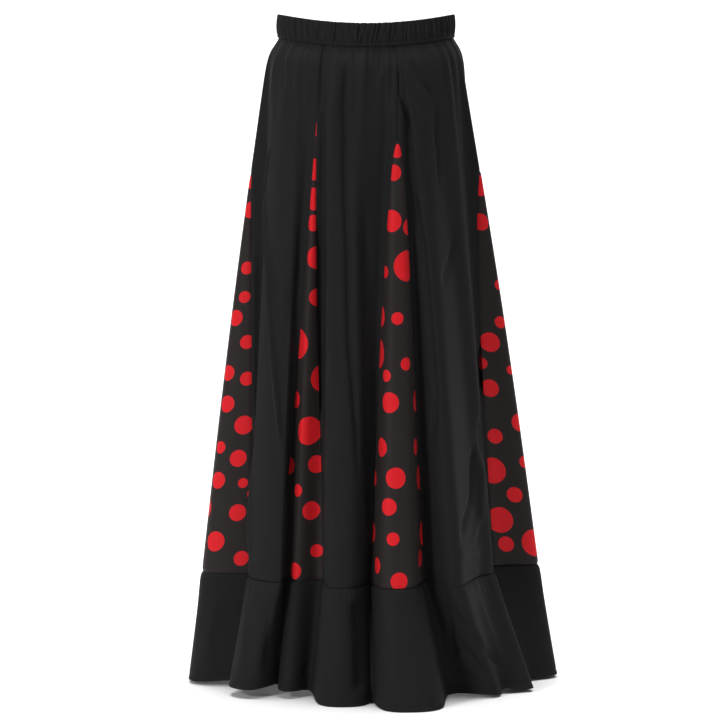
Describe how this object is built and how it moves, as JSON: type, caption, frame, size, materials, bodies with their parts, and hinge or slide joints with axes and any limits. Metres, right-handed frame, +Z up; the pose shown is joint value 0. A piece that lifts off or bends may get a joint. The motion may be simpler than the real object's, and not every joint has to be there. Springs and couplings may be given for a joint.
{
  "type": "flamenco skirt",
  "caption": "Full-length gathered skirt with plain gores, dotted godets and a flared hem ruffle, hollow as when worn.",
  "frame": {"origin": "middle of the waist opening, at half the height of the waistband, where the wearer holds the skirt up", "axes": "+Z up, -Y to the front of the skirt, +X to the wearer's left"},
  "size_m": [0.5553, 0.5524, 0.995],
  "materials": {
    "plain_cloth": "matte",
    "dotted_cloth": "satin"
  },
  "bodies": {
    "root": {"waistband_casing": "plain_cloth", "gore_front_right": "plain_cloth", "gore_front_centre": "plain_cloth", "gore_front_left": "plain_cloth", "gore_back_left": "plain_cloth", "gore_back_centre": "plain_cloth", "gore_back_right": "plain_cloth", "godet_side_right": "dotted_cloth", "godet_front_right": "dotted_cloth", "godet_front_left": "dotted_cloth", "godet_side_left": "dotted_cloth", "godet_back_left": "dotted_cloth", "godet_back_right": "dotted_cloth", "ruffle_strip_1": "plain_cloth", "ruffle_strip_2": "plain_cloth", "ruffle_strip_3": "plain_cloth", "ruffle_strip_4": "plain_cloth", "ruffle_strip_5": "plain_cloth", "ruffle_strip_6": "plain_cloth"}
  },
  "joints": []
}
